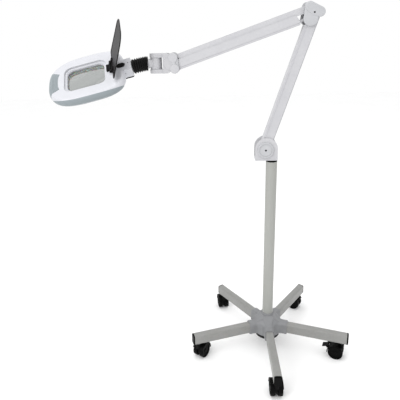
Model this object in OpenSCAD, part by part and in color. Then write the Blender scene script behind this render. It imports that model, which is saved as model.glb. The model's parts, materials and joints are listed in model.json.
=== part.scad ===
// Magnifying lamp on a five-star rolling base: two spring-balanced parallelogram arms carry
// an egg-shaped lamp head with a rectangular lens and a flip-up lens cover.
// X runs along the arm plane, -Y is the front, Z is up. The origin is on the floor under the pole.

/* [Rolling base] */
// Distance from the pole axis to the end of a leg
leg_reach = 280; // [240:1:340]
// Height of a leg tube
leg_h = 36; // [32:1:44]
// Width of a leg tube
leg_w = 25; // [22:1:30]
// Wall of a leg tube
leg_wall = 1.6; // [1.2:0.1:2]
// Height of the legs' middle line above the floor
leg_z = 81; // [80:1:95]
// How far the hub's sockets reach from the pole axis
socket_reach = 72; // [62:1:90]
// Wall of the hub's sockets
socket_wall = 4; // [3:0.5:5]
// Height of the hub's collar above the floor
hub_top = 128; // [122:1:145]

/* [Casters] */
// Wheel diameter
wheel_d = 50; // [44:1:52]
// Width of one wheel
wheel_w = 15; // [12:1:18]
// Distance from a caster's stem to its axle
trail = 17; // [15:1:20]
// Distance from a leg's end to its caster's stem
stem_inset = 16; // [15:1:20]

/* [Pole and arm bracket] */
// Outer diameter of the pole
pole_d = 36; // [34:1:40]
// Wall of the pole
pole_wall = 1.5; // [1.2:0.1:2]
// Height of the pole's top end above the floor
pole_top = 697; // [550:1:800]
// Height of the bracket's round cap above the pole's top end
cap_rise = 38; // [36:1:44]
// Diameter of the bracket's round cap
cap_d = 50; // [48:1:54]

/* [Arms] */
// Pivot to pivot length of the lower arm
lower_length = 415; // [340:1:500]
// Pivot to pivot length of the upper arm
upper_length = 415; // [340:1:500]
// Angle of the lower arm above the horizontal
lower_angle = 71.3; // [64:0.1:110]
// Angle of the upper arm below the horizontal
upper_drop = 18.4; // [-30:0.1:26]
// Outer width of an arm
arm_w = 36; // [33:1:40]
// Diameter of the pivot pins
pin_d = 8; // [7:0.5:9]

/* [Lamp head] */
// Length of the head along the neck
head_length = 236; // [225:1:290]
// Width of the head
head_w = 202; // [190:1:235]
// Length of the lens window
window_l = 118; // [105:1:126]
// Width of the lens window
window_w = 100; // [90:1:112]
// Length of the lens cover from its hinge
cover_l = 138; // [136:1:150]
// Width of the lens cover at its hinge
cover_w = 136; // [124:1:140]
// Angle of the neck below the horizontal
head_tilt = 13; // [-20:1:30]
// Roll of the head towards the front
head_roll = 34; // [-45:1:50]
// Swing of the head towards the front
head_swing = 5; // [-30:1:30]
// Angle of the open lens cover from its closed place
cover_open = 118; // [95:1:125]

/* [Hidden] */
$fn = 64;

// Clearances: a running pin in its bore, a piece seated in another, a gap between moving faces
running = 0.05;
seated = 0.1;
gap = 0.4;
tiny = 0.01;

// Colours
housing_grey = [0.79, 0.79, 0.80];
leg_grey = [0.72, 0.72, 0.71];
hub_grey = [0.64, 0.65, 0.67];
shell_white = [0.92, 0.92, 0.93];
panel_grey = [0.66, 0.69, 0.71];
black = [0.07, 0.07, 0.07];
steel = [0.75, 0.75, 0.76];
smoke = [0.24, 0.23, 0.24];

// Base values
leg_bottom = leg_z - leg_h / 2;
leg_top = leg_z + leg_h / 2;
leg_start = 30;
leg_corner = 6;
plug_cap = 5;
plug_length = 36;
stem_radius = leg_reach - plug_cap - stem_inset;
stem_d = 8;
hub_bottom = leg_bottom - socket_wall - 1;
weight_h = 12;
weight_r = 43;
pole_r = pole_d / 2;
pole_bottom = leg_bottom + 2;
ring_h = 6;
screw_d = 5;
hub_screw_radius = 58;

// Caster values, with the axle along a caster's own Y axis
wheel_r = wheel_d / 2;
web_w = 8;
peg_d = 9;
wheel_gap = 0.6;
hood_gap = 1.4;
hood_wall = 2.4;
hood_r = wheel_r + hood_gap + hood_wall;
hood_w = web_w + 2 * (wheel_gap + wheel_w + 1);
boss_top = leg_bottom - 2.6;
boss_d = 18;
pedal_x = trail + 27;
pedal_z = wheel_r + 16;
pedal_w = 22;
brake_casters = [2, 5];
caster_heading = [90, 156, 148, 100, 58];

// Arm section: a wide channel holds a narrower link, which opens towards it
channel_wall = 1.6;
lip_depth = 8;
lip_step = 1.2;
channel_depth = 22;
link_w = arm_w - 2 * channel_wall - 1;
link_wall = 1.4;
link_back = 5.5;
link_front = 14;
pin_r = pin_d / 2;
ear_r = pin_r + 4;
link_ear_r = pin_r + 3;
plate_y = arm_w / 2 + gap;
plate_t = 4;
outer_y = plate_y + plate_t;
tongue_y = link_w / 2 - link_wall - 0.7;
tongue_t = 2.8;
spring_r = 5.2;
spring_y = 6.4;
spring_z = 0;
anchor_t = 2;
lower_tab = [62, 250];
upper_tab = [74, 262];

// Pivots in the arm plane, as [x, z]
cap_centre = [-22, pole_top + cap_rise];
lower_offset = [26, 17];
upper_offset = [-4, 32];
lower_base = cap_centre - [14, 8.5];
lower_dir = [cos(lower_angle), sin(lower_angle)];
elbow = lower_base + lower_length * lower_dir;
upper_angle = 180 + upper_drop;
upper_dir = [cos(upper_angle), sin(upper_angle)];
wrist = elbow + upper_length * upper_dir;

// Head bracket and neck
swivel_drop = 56;
swivel = wrist + [-swivel_drop, upper_offset[1] / 2];
fork_r = 19;
fork_back = swivel[0] + 22;
fork_half = 17;
fork_t = 12;
web_t = 14;
knuckle_r = 17;
knuckle_half = fork_half - gap;
tilt_reach = 35;
stub_r = 14;
cheek_t = 5;
cheek_in = 5.4;
bellows_r = 22;
bellows_to = 37;
bellows_from = 10;
collar_t = 3;
collar_r = 15.4;
stem_r = 8;
stem_end = 66;
neck_from = 38.5;
neck_to = 84;
neck_w = 54;
neck_half = 15;

// Head, with its own X pointing from the neck to the heel and its lens facing its own Z
heel = 60;
head_mid = 178;
tip = heel + head_length;
head_top = 16;
head_bottom = -20;
split = 0;
shell_t = 2.2;
window_x = -180;
window_r = 24;
lens_rim = 4;
lens_z = -1;
lens_half_t = 5;
seat_z = 9;
panel_t = 1.4;
hinge_x = -100;
hinge_z = head_top + 5.2;
block_base = head_top - 5.5;
cover_lift = 5;
cover_root = 6;
block_l = 17.6;
block_w = 28.6;
barrel_r = 4.5;
cover_t = 3;
switch_x = -69;
switch_w = 22;
switch_l = 26;

// ---------- shared shapes ----------

module rounded_rect(w, h, r) {
    square([w - 2 * r, h], center = true);
    square([w, h - 2 * r], center = true);
    for (x = [-1, 1], y = [-1, 1])
        translate([x * (w / 2 - r), y * (h / 2 - r)]) circle(r);
}

// A cylinder along Y, centred on the arm plane at an [x, z] point
module across(p, r, w) {
    translate([p[0], 0, p[1]]) rotate([90, 0, 0]) cylinder(r = r, h = w, center = true);
}

// Places children on both sides of the arm plane, between two distances from it
module both_sides(from, to) {
    for (side = [-1, 1])
        translate([0, side * (from + to) / 2, 0])
            rotate([90, 0, 0]) linear_extrude(to - from, center = true) children();
}

// A pan-head screw with its head's flat face at z = 0 and its shank upwards
module pan_screw(d, length, head_d, head_h) {
    cylinder(d = d, h = length);
    translate([0, 0, -head_h]) difference() {
        cylinder(d = head_d, h = head_h);
        translate([0, 0, -tiny]) cylinder(d = head_d / 2, h = head_h / 2, $fn = 6);
    }
}

function leg_angle(k) = -90 + 72 * (k - 1);

module at_leg(k) {
    rotate(leg_angle(k)) children();
}

// ---------- rolling base ----------

module leg_section(grow = 0) {
    rounded_rect(leg_w + 2 * grow, leg_h + 2 * grow, leg_corner + grow);
}

module along_leg(from, to) {
    translate([from, 0, leg_z]) rotate([90, 0, 90]) linear_extrude(to - from) children();
}

module hub() {
    color(hub_grey) difference() {
        union() {
            translate([0, 0, hub_bottom]) cylinder(r = 50, h = leg_top + socket_wall + 1 - hub_bottom);
            translate([0, 0, leg_top + socket_wall])
                cylinder(r1 = 38, r2 = pole_r + 5, h = hub_top - leg_top - socket_wall);
            for (k = [1:5]) at_leg(k) along_leg(20, socket_reach) leg_section(socket_wall);
        }
        for (k = [1:5]) at_leg(k) {
            along_leg(leg_start - 0.2, socket_reach + 1) leg_section(seated);
            translate([hub_screw_radius, 0, hub_bottom - 1]) cylinder(d = screw_d + 0.4, h = 10);
        }
        translate([0, 0, pole_bottom]) cylinder(r = pole_r + seated, h = hub_top);
        translate([0, 0, hub_bottom - 1]) cylinder(d = screw_d + 0.4, h = 20);
    }
}

module hub_weight() {
    color(black) difference() {
        union() {
            translate([0, 0, hub_bottom - weight_h]) cylinder(r = weight_r, h = weight_h - 3);
            translate([0, 0, hub_bottom - 3]) cylinder(r = weight_r - 2, h = 3);
        }
        translate([0, 0, hub_bottom - weight_h - 1]) {
            cylinder(d = screw_d + 0.4, h = weight_h + 2);
            cylinder(d = 14, h = 5);
        }
    }
}

module leg(k) {
    color(leg_grey) at_leg(k) difference() {
        along_leg(leg_start, leg_reach - plug_cap) leg_section();
        along_leg(leg_start - 1, leg_reach) leg_section(-leg_wall);
        translate([hub_screw_radius, 0, leg_bottom - 1]) cylinder(d = screw_d + 0.4, h = leg_wall + 2);
        translate([stem_radius, 0, leg_bottom - 1]) cylinder(d = stem_d + 2, h = leg_wall + 2);
    }
}

module leg_end_plugs() {
    plug_end = leg_reach - plug_cap;
    color(black) for (k = [1:5]) at_leg(k) {
        difference() {
            union() {
                along_leg(plug_end - plug_length, plug_end + tiny) leg_section(-leg_wall - seated);
                along_leg(plug_end, leg_reach - 1.5) leg_section();
                along_leg(plug_end, leg_reach) leg_section(-1.5);
            }
            translate([stem_radius, 0, leg_bottom]) cylinder(d = stem_d + 2 * seated, h = 30);
        }
    }
}

module caster_stems() {
    color(steel) for (k = [1:5]) at_leg(k) translate([stem_radius, 0, 0]) {
        translate([0, 0, leg_bottom - 12.6]) cylinder(d = stem_d, h = 40);
        translate([0, 0, leg_bottom - 2.2]) cylinder(d = 15, h = 2.1);
    }
}

module pole() {
    color(leg_grey) difference() {
        translate([0, 0, pole_bottom + 0.2]) cylinder(r = pole_r, h = pole_top - 4 - pole_bottom);
        translate([0, 0, pole_bottom - 1]) cylinder(r = pole_r - pole_wall, h = pole_top);
        translate([0, 0, pole_top - 22]) rotate([0, 90, -60]) cylinder(d = 4.4, h = pole_d);
    }
}

module pole_foot_ring() {
    color(housing_grey) translate([0, 0, hub_top + tiny]) difference() {
        union() {
            cylinder(r = pole_r + 3, h = ring_h - 2);
            translate([0, 0, ring_h - 2 - tiny]) cylinder(r1 = pole_r + 3, r2 = pole_r + 1, h = 2);
        }
        translate([0, 0, -1]) cylinder(r = pole_r + seated, h = ring_h + 2);
    }
}

// Black bush in the pole's top end: the bracket's spigot turns in it
bush_depth = 60;
spigot_d = 20;
module pole_top_bush() {
    flange_z = pole_top - 3.8;
    flange_h = 6;
    color(black) difference() {
        union() {
            translate([0, 0, flange_z - bush_depth])
                cylinder(r = pole_r - pole_wall - seated, h = bush_depth + tiny);
            translate([0, 0, flange_z + tiny]) cylinder(r = pole_r, h = flange_h);
        }
        translate([0, 0, pole_top - 50]) cylinder(d = spigot_d + 2 * running, h = 60);
        translate([0, 0, flange_z - bush_depth - 1]) cylinder(d = 12, h = 20);
        translate([0, 0, pole_top - 22]) rotate([0, 90, -60])
            translate([0, 0, spigot_d / 2 - 1]) cylinder(d = 4, h = pole_r);
    }
}

module base_screws() {
    color(steel) {
        for (k = [1:5]) at_leg(k)
            translate([hub_screw_radius, 0, leg_bottom - socket_wall - tiny]) pan_screw(screw_d, 9, 9, 2.5);
        translate([0, 0, hub_bottom - weight_h + 4 - tiny]) rotate(30) pan_screw(screw_d, 22, 10, 3);
        translate([0, 0, pole_top - 22]) rotate([0, 90, -60]) difference() {
            translate([0, 0, spigot_d / 2 - 0.6]) cylinder(d = 3.9, h = pole_r - spigot_d / 2 + 0.2);
            translate([0, 0, pole_r - 2.4]) cylinder(d = 2, h = 3, $fn = 6);
        }
    }
}

// ---------- casters ----------

// A caster's own frame: the stem is its Z axis and the wheels trail along its X axis
module at_caster(k) {
    at_leg(k) translate([stem_radius, 0, 0]) rotate(caster_heading[k - 1] - leg_angle(k)) children();
}

module axle_cylinder(r, w) {
    across([trail, wheel_r], r, w);
}

module caster_hood(k) {
    braked = len([for (b = brake_casters) if (b == k) b]) > 0;
    color(black) at_caster(k) difference() {
        union() {
            axle_cylinder(wheel_r - 6, web_w);
            axle_cylinder(peg_d / 2, web_w + 2 * (wheel_gap + wheel_w - 3));
            difference() {
                union() {
                    axle_cylinder(hood_r, hood_w);
                    translate([0, 0, wheel_r + 12]) cylinder(d = boss_d, h = boss_top - wheel_r - 12);
                    if (braked) for (side = [-1, 1])
                        translate([trail + 18, side * (pedal_w / 2 + 2) - 1.5, wheel_r + 12])
                            cube([13, 3, 8.5]);
                }
                for (side = [-1, 1]) translate([0, side * (web_w / 2 + hood_w / 2), 0])
                    axle_cylinder(wheel_r + hood_gap, hood_w);
                translate([trail - 40, -40, -40]) cube([80, 80, 40 + wheel_r - 2]);
                translate([trail - 40, -40, wheel_r - 3]) cube([22, 80, 18]);
            }
            if (braked) across([pedal_x, pedal_z], 1.5, pedal_w + 4);
        }
        translate([0, 0, leg_bottom - 12.8]) cylinder(d = stem_d + 2 * running, h = 20);
        if (braked) translate([pedal_x - 4, -pedal_w / 2 - 0.3, pedal_z - 6])
            difference() {
                cube([10, pedal_w + 0.6, 12]);
                translate([4, pedal_w / 2 + 0.3, 6]) rotate([90, 0, 0])
                    cylinder(r = 1.5, h = pedal_w + 2, center = true);
            }
    }
}

module caster_wheel(k, side) {
    color(black) at_caster(k) translate([0, side * (web_w / 2 + wheel_gap + wheel_w / 2), 0])
        translate([trail, 0, wheel_r]) rotate([side * -90, 0, 0]) difference() {
            rotate_extrude() difference() {
                union() {
                    translate([0, -wheel_w / 2]) square([wheel_r - 2, wheel_w]);
                    translate([0, -wheel_w / 2 + 2]) square([wheel_r, wheel_w - 4]);
                    for (z = [-1, 1]) translate([wheel_r - 2, z * (wheel_w / 2 - 2)]) circle(2);
                }
                translate([9, wheel_w / 2 - 3]) square([wheel_r - 15, 4]);
            }
            translate([0, 0, -wheel_w / 2 - 1])
                cylinder(r = peg_d / 2 + running, h = wheel_w - 2 + seated);
        }
}

module brake_pedal(k) {
    color(black) at_caster(k) difference() {
        union() {
            across([pedal_x, pedal_z], 3.4, pedal_w - 0.6);
            translate([pedal_x, 0, pedal_z]) rotate([0, 20, 0]) translate([2.4, 1 - pedal_w / 2, -1.2])
                cube([17, pedal_w - 2, 3]);
        }
        across([pedal_x, pedal_z], 1.5 + running, pedal_w + 4);
    }
}

// ---------- arm bracket on the pole ----------

bracket_bottom = pole_top + 4;
bracket_left = -54;
bracket_right = 16;
bracket_r = (bracket_right - bracket_left) / 2;
bracket_mid = (bracket_right + bracket_left) / 2;
floor_t = 8;

module bracket_outline() {
    top_z = cap_centre[1] + 3;
    translate([bracket_mid, top_z]) circle(bracket_r);
    translate([bracket_left, bracket_bottom]) square([2 * bracket_r, top_z - bracket_bottom]);
}

module arm_bracket() {
    color(housing_grey) difference() {
        union() {
            both_sides(plate_y, outer_y) bracket_outline();
            translate([bracket_left, -outer_y, bracket_bottom]) cube([2 * bracket_r, 2 * outer_y, floor_t]);
            translate([0, 0, pole_top + 2.4]) cylinder(r = pole_r - 1, h = 3);
            translate([0, 0, pole_top - 48]) cylinder(d = spigot_d, h = 54);
        }
        for (p = [lower_base, lower_base + lower_offset]) across(p, pin_r + seated, 3 * arm_w);
        across(cap_centre, 3.1, 3 * arm_w);
        translate([0, 0, pole_top - 24.5]) rotate_extrude() translate([spigot_d / 2 - 1, 0]) square([3, 5]);
        translate([0, 0, pole_top - 49]) cylinder(d = 9, h = 70);
    }
}

module bracket_caps() {
    cap_r = cap_d / 2;
    color(housing_grey) for (side = [-1, 1])
        translate([cap_centre[0], side * outer_y, cap_centre[1]]) rotate([side * -90, 0, 0])
            difference() {
                rotate_extrude() difference() {
                    union() {
                        translate([0, tiny]) square([cap_r, 3.5]);
                        translate([0, 3]) square([cap_r - 1.5, 2]);
                        translate([cap_r - 1.5, 3.5]) circle(1.5, $fn = 32);
                    }
                    translate([cap_r - 7, 4]) square([1.6, 3]);
                    translate([-1, -2]) square([cap_r * 2, 2 + tiny]);
                }
                for (p = [lower_base, lower_base + lower_offset])
                    translate([p[0] - cap_centre[0], side * (cap_centre[1] - p[1]), -1])
                        cylinder(r = pin_r + 0.6, h = 2.4);
                translate([0, 0, -1]) cylinder(r = 3.1, h = 10);
            }
}

module bracket_pins() {
    color(steel) {
        for (p = [lower_base, lower_base + lower_offset]) across(p, pin_r, 2 * outer_y + 1.6);
        for (side = [-1, 1]) translate([cap_centre[0], side * (outer_y + 3), cap_centre[1]])
            rotate([side * 90, 0, 0]) difference() {
                translate([0, 0, -1]) cylinder(r = 3, h = plate_t + 3);
                translate([0, 0, -2]) cylinder(d = 3.2, h = 4, $fn = 6);
            }
    }
}

// ---------- arms ----------

// An arm's own frame: X along the arm from its base pivot, Z towards its link
module arm_frame(p, angle) {
    translate([p[0], 0, p[1]]) rotate([0, -angle, 0]) rotate([180, 0, 0]) children();
}

// Section across Y and Z of the wide channel, open towards the link
module channel_section() {
    half = arm_w / 2;
    lip = lip_depth - 1;
    difference() {
        union() {
            translate([-half, -lip_depth + lip]) square([arm_w, channel_depth + lip_depth - lip]);
            translate([-half + lip_step, -lip_depth]) square([arm_w - 2 * lip_step, lip + 1]);
        }
        translate([-half + channel_wall, 0.5]) square([arm_w - 2 * channel_wall, channel_depth]);
        translate([-half + channel_wall + lip_step, -lip_depth + channel_wall])
            square([arm_w - 2 * (channel_wall + lip_step), channel_depth]);
    }
}

module along_arm(from, to) {
    translate([from, 0, 0]) rotate([90, 0, 90]) linear_extrude(to - from) children();
}

// Ears in the side walls: a strip from the channel to the round end at a pivot
module channel_ears(pivot_x, from) {
    both_sides(arm_w / 2 - channel_wall, arm_w / 2) {
        translate([pivot_x, 0]) circle(ear_r);
        translate([min(pivot_x, from), -lip_depth]) square([abs(pivot_x - from), 2 * lip_depth]);
    }
}

module spring_tabs(xs) {
    for (x = xs) translate([x, -11, -lip_depth + channel_wall - tiny]) cube([anchor_t, 22, lip_depth + 3]);
}

module lower_arm() {
    from = 36;
    to = lower_length - 9;
    color(housing_grey) arm_frame(lower_base, lower_angle) difference() {
        union() {
            along_arm(from, to) channel_section();
            channel_ears(0, from + 4);
            channel_ears(lower_length, to - 4);
            spring_tabs(lower_tab);
        }
        for (x = [0, lower_length]) across([x, 0], pin_r + running, 2 * arm_w);
        // Room for the upper arm's tongues when the arms fold
        translate([lower_length - 20, -tongue_y - 0.6, -lip_depth - 1]) cube([30, 2 * tongue_y + 1.2, 3]);
    }
}

module upper_arm() {
    from = 30;
    to = upper_length - 9;
    color(housing_grey) arm_frame(elbow, upper_angle) difference() {
        union() {
            difference() {
                along_arm(from, to) channel_section();
                translate([from, 0, 4]) rotate([0, 20, 0]) translate([-40, -arm_w, 0])
                    cube([40, 2 * arm_w, 60]);
                translate([from - 1, 0, -4]) rotate([0, -45, 0]) translate([-60, -arm_w, -60])
                    cube([60, 2 * arm_w, 60]);
            }
            channel_ears(upper_length, to - 4);
            spring_tabs(upper_tab);
            both_sides(tongue_y - tongue_t, tongue_y) {
                circle(ear_r);
                polygon([[0, 5.6], [0, -1], [from, -1], [from + 6, channel_wall - lip_depth - tiny],
                         [56, channel_wall - lip_depth - tiny], [56, 5.6]]);
            }
        }
        for (x = [0, upper_length]) across([x, 0], pin_r + running, 2 * arm_w);
    }
}

// Narrow link: a channel that opens towards the arm, with ears at both ends
module link(length) {
    half = link_w / 2;
    near = 16;
    difference() {
        union() {
            along_arm(near, length - near) difference() {
                translate([-half, -link_front]) square([link_w, link_front + link_back]);
                translate([-half + link_wall, -link_front - 1])
                    square([link_w - 2 * link_wall, link_front + link_back + 1 - link_wall]);
            }
            both_sides(half - link_wall, half) {
                for (x = [0, length]) translate([x, 0]) circle(link_ear_r);
                translate([0, -link_back]) square([length, 2 * link_back]);
            }
        }
        for (x = [0, length]) across([x, 0], pin_r + running, 2 * arm_w);
        translate([length - 44, -arm_w, -link_front - 1]) cube([60, 2 * arm_w, 4.2]);
    }
}

module lower_link() {
    color(housing_grey) arm_frame(lower_base + lower_offset, lower_angle) link(lower_length);
}

module upper_link() {
    color(housing_grey) arm_frame(elbow + upper_offset, upper_angle) link(upper_length);
}

// Balance spring as a ribbed sleeve of the coil's outer shape
module spring_sleeve(length) {
    ribs = floor(length / 6);
    rotate([0, 90, 0]) rotate_extrude($fn = 32) difference() {
        union() {
            square([spring_r - 1, length]);
            for (i = [0:ribs - 1]) translate([spring_r - 1, (i + 0.5) * length / ribs]) circle(1, $fn = 16);
        }
        translate([-2, -1]) square([2, length + 2]);
    }
}

module arm_springs(tabs) {
    length = tabs[1] - tabs[0] - anchor_t;
    for (y = [-1, 1]) translate([tabs[0] + anchor_t, y * spring_y, spring_z]) spring_sleeve(length);
}

module lower_springs() {
    color(steel) arm_frame(lower_base, lower_angle) arm_springs(lower_tab);
}

module upper_springs() {
    color(steel) arm_frame(elbow, upper_angle) arm_springs(upper_tab);
}

// ---------- elbow ----------

lobe_big = 21;
lobe_small = 14;

module elbow_outline(shrink = 0) {
    low = elbow;
    top = elbow + upper_offset;
    right = elbow + lower_offset;
    translate(low) circle(lobe_big - shrink);
    for (p = [top, right]) translate(p) circle(lobe_small - shrink);
    polygon([low + [-lobe_small + 2, 4], top + [-lobe_small + 4, 0], top, (top + right) / 2 + [2, 4], right,
             right + [-2, -lobe_small + 3], low]);
}

module elbow_block() {
    spacer = elbow + (upper_offset + lower_offset) / 2 + [-1, -2];
    angle = atan2(upper_offset[1] - lower_offset[1], upper_offset[0] - lower_offset[0]);
    color(housing_grey) difference() {
        union() {
            both_sides(plate_y, outer_y) elbow_outline(1);
            translate([spacer[0], 0, spacer[1]]) rotate([0, -angle, 0])
                cube([8, 2 * plate_y + 1, 13], center = true);
        }
        for (p = [[0, 0], lower_offset, upper_offset]) across(elbow + p, pin_r + seated, 3 * arm_w);
        across(elbow + [9, 16], 2.1, 3 * arm_w);
    }
}

module elbow_covers() {
    color(housing_grey) difference() {
        union() {
            both_sides(outer_y + tiny, outer_y + 4) elbow_outline();
            both_sides(outer_y + 3, outer_y + 5.2) elbow_outline(1.5);
        }
        for (p = [[0, 0], lower_offset, upper_offset])
            across(elbow + p, pin_r + 0.6, 2 * outer_y + 2.4);
        across(elbow + [9, 16], 2.1, 3 * arm_w);
    }
}

module elbow_pins() {
    color(steel) {
        for (p = [[0, 0], lower_offset, upper_offset]) across(elbow + p, pin_r, 2 * outer_y + 1.6);
        for (side = [-1, 1]) translate([elbow[0] + 9, side * (outer_y + 5), elbow[1] + 16])
            rotate([side * 90, 0, 0]) difference() {
                cylinder(d = 4, h = plate_t + 5);
                translate([0, 0, -1]) cylinder(d = 2.4, h = 3, $fn = 6);
            }
    }
}

// ---------- head bracket ----------

module wrist_outline() {
    mid = wrist + upper_offset / 2;
    for (p = [wrist, wrist + upper_offset]) translate(p) circle(lobe_small);
    translate(mid - [12, 0]) circle(19);
    translate([fork_back, swivel[1] - 27]) square([mid[0] - 12 - fork_back, 54]);
}

module head_bracket() {
    total_half = fork_half + fork_t;
    mid = wrist + upper_offset / 2;
    color(housing_grey) difference() {
        union() {
            both_sides(plate_y, outer_y) wrist_outline();
            translate([fork_back, -outer_y, swivel[1] - total_half])
                cube([web_t, 2 * outer_y, 2 * total_half]);
            both_sides(outer_y - tiny, outer_y + 2.6)
                for (p = [wrist, wrist + upper_offset]) translate(p) circle(lobe_small - 1);
            both_sides(outer_y - tiny, outer_y + 1.2) translate(mid - [12, 0]) circle(18);
            for (side = [-1, 1])
                translate([swivel[0], 0, swivel[1] + side * (fork_half + fork_t / 2)]) {
                    cylinder(r = fork_r, h = fork_t, center = true);
                    translate([0, -fork_r, -fork_t / 2])
                        cube([fork_back - swivel[0] + 1, 2 * fork_r, fork_t]);
                }
        }
        for (p = [wrist, wrist + upper_offset]) across(p, pin_r + seated, 2 * outer_y + 2.4);
        across(mid, 3.1, 3 * arm_w);
        translate([swivel[0], 0, swivel[1] - total_half - 1]) cylinder(d = 8 + 2 * seated, h = 2 * total_half + 2);
    }
}

module head_bracket_pins() {
    mid = wrist + upper_offset / 2;
    total_half = fork_half + fork_t;
    color(steel) {
        for (p = [wrist, wrist + upper_offset]) across(p, pin_r, 2 * outer_y + 1.6);
        translate([swivel[0], 0, swivel[1] - total_half + 1]) cylinder(d = 8, h = 2 * total_half - 2);
        for (side = [-1, 1]) translate([mid[0], side * (outer_y + 1.8), mid[1]])
            rotate([side * 90, 0, 0]) difference() {
                cylinder(r = 3, h = plate_t + 1.4);
                translate([-4, -0.5, -1]) cube([8, 1, 2]);
            }
    }
}

// ---------- neck ----------

// The neck's frame before it tilts: origin on the tilt axis, X pointing back to the arm
module swung() {
    translate([swivel[0], 0, swivel[1]]) rotate(head_swing) translate([-tilt_reach, 0, 0]) children();
}

// The neck's frame after it tilts; what rolls with the head also turns about its X axis
module tilted() {
    swung() rotate([0, -head_tilt, 0]) children();
}

module head_frame() {
    tilted() rotate([head_roll, 0, 0]) children();
}

module swivel_knuckle() {
    color(housing_grey) swung() difference() {
        union() {
            translate([tilt_reach, 0, 0]) cylinder(r = knuckle_r, h = 2 * knuckle_half, center = true);
            translate([bellows_from + 2, 0, 0]) rotate([0, 90, 0]) cylinder(r = stub_r, h = tilt_reach - bellows_from - 2);
            for (side = [-1, 1]) translate([0, side * (cheek_in + cheek_t / 2), 0])
                rotate([90, 0, 0]) {
                    cylinder(r = 8, h = cheek_t, center = true);
                    translate([bellows_from / 2 + 1, 0, 0]) cube([bellows_from + 2, 16, cheek_t], center = true);
                }
        }
        translate([tilt_reach, 0, 0]) cylinder(r = 4 + running, h = 60, center = true);
        across([0, 0], 3 + seated, 40);
    }
}

module neck_stem() {
    color(steel) tilted() difference() {
        union() {
            across([0, 0], 8, 2 * cheek_in - 0.4);
            translate([-22, -cheek_in + 0.2, -5]) cube([22, 2 * cheek_in - 0.4, 10]);
            translate([-bellows_to, 0, 0]) rotate([0, 90, 0]) cylinder(r = collar_r, h = collar_t);
            translate([-stem_end, 0, 0]) rotate([0, 90, 0]) cylinder(r = stem_r, h = stem_end - 14);
        }
        across([0, 0], 3 + running, 40);
        translate([-stem_end + 4, 0, 0]) rotate([0, 90, 0]) rotate_extrude()
            translate([stem_r - 1.2, 0]) square([3, 3.4]);
    }
}

module neck_pins() {
    color(steel) swung() across([0, 0], 3, 2 * (cheek_in + cheek_t) - 0.4);
}

// Drawn straight, along the middle of its bend
module bellows() {
    ribs = 8;
    pitch = (bellows_to + bellows_from) / ribs;
    rib_r = 1.6;
    color(black) swung() rotate([0, -head_tilt * 0.8, 0]) translate([-bellows_to, 0, 0]) rotate([0, 90, 0])
        rotate_extrude() {
            translate([bellows_r - 3.4, 0]) square([2, ribs * pitch]);
            for (i = [0:ribs - 1]) translate([bellows_r - rib_r, (i + 0.5) * pitch]) circle(rib_r, $fn = 24);
        }
}

// ---------- lamp head ----------

// Outline of the head from above: a blunt heel and a narrower tip, each a quarter superellipse
function egg(a, grow = 0) =
    let (toward_tip = cos(a) < 0,
         half_l = toward_tip ? tip - head_mid : head_mid - heel,
         power = toward_tip ? 2.7 : 3.6)
    [-head_mid + (half_l + grow) * sign(cos(a)) * pow(abs(cos(a)), 2 / power),
     (head_w / 2 + grow) * sign(sin(a)) * pow(abs(sin(a)), 2 / power)];

egg_steps = 60;
module egg_outline(grow = 0) {
    polygon([for (i = [0:egg_steps - 1]) egg(360 * (i + 0.5) / egg_steps, grow)]);
}

// Head body between the bottom and the crowned top, drawn in by a wall thickness
module head_body(inset = 0) {
    layers = [[head_bottom, -26], [head_bottom + 5, -11], [head_bottom + 14, -1.5], [-1, 0],
              [head_top - 6, -3], [head_top, -12]];
    hull() for (l = layers)
        translate([0, 0, min(max(l[0], head_bottom + inset), head_top - inset)])
            linear_extrude(tiny) egg_outline(l[1] - inset);
}

heel_screw_x = window_x + window_l / 2 + 24;
tip_screw_x = window_x - window_l / 2 - 21;
screw_places = [for (p = [[heel_screw_x, 46], [tip_screw_x, 24]], side = [-1, 1]) [p[0], side * p[1]]];

module window_shape(grow = 0) {
    translate([window_x, 0]) rounded_rect(window_l + 2 * grow, window_w + 2 * grow, window_r + grow);
}

module slab(from, to) {
    translate([0, 0, from]) linear_extrude(to - from) children();
}

// Zone of the side panels: the flanks below the top edge, clear of heel and tip
module flank_zone() {
    for (side = [-1, 1]) translate([-tip + 22, side * (head_w / 2 + 8) - 45, head_bottom - 4])
        cube([head_length - 50, 90, 31]);
}

module tip_zone() {
    translate([-tip - 5, -44, -9]) cube([36, 88, 40]);
}

module neck_cavity() {
    translate([-stem_end - 2, 0, 0]) rotate([0, 90, 0]) cylinder(r = stem_r + running, h = 60);
}

module neck_box_solid() {
    translate([-neck_to, 0, 0]) rotate([90, 0, 90]) linear_extrude(neck_to - neck_from)
        rounded_rect(neck_w, 2 * neck_half, 5);
}

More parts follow.
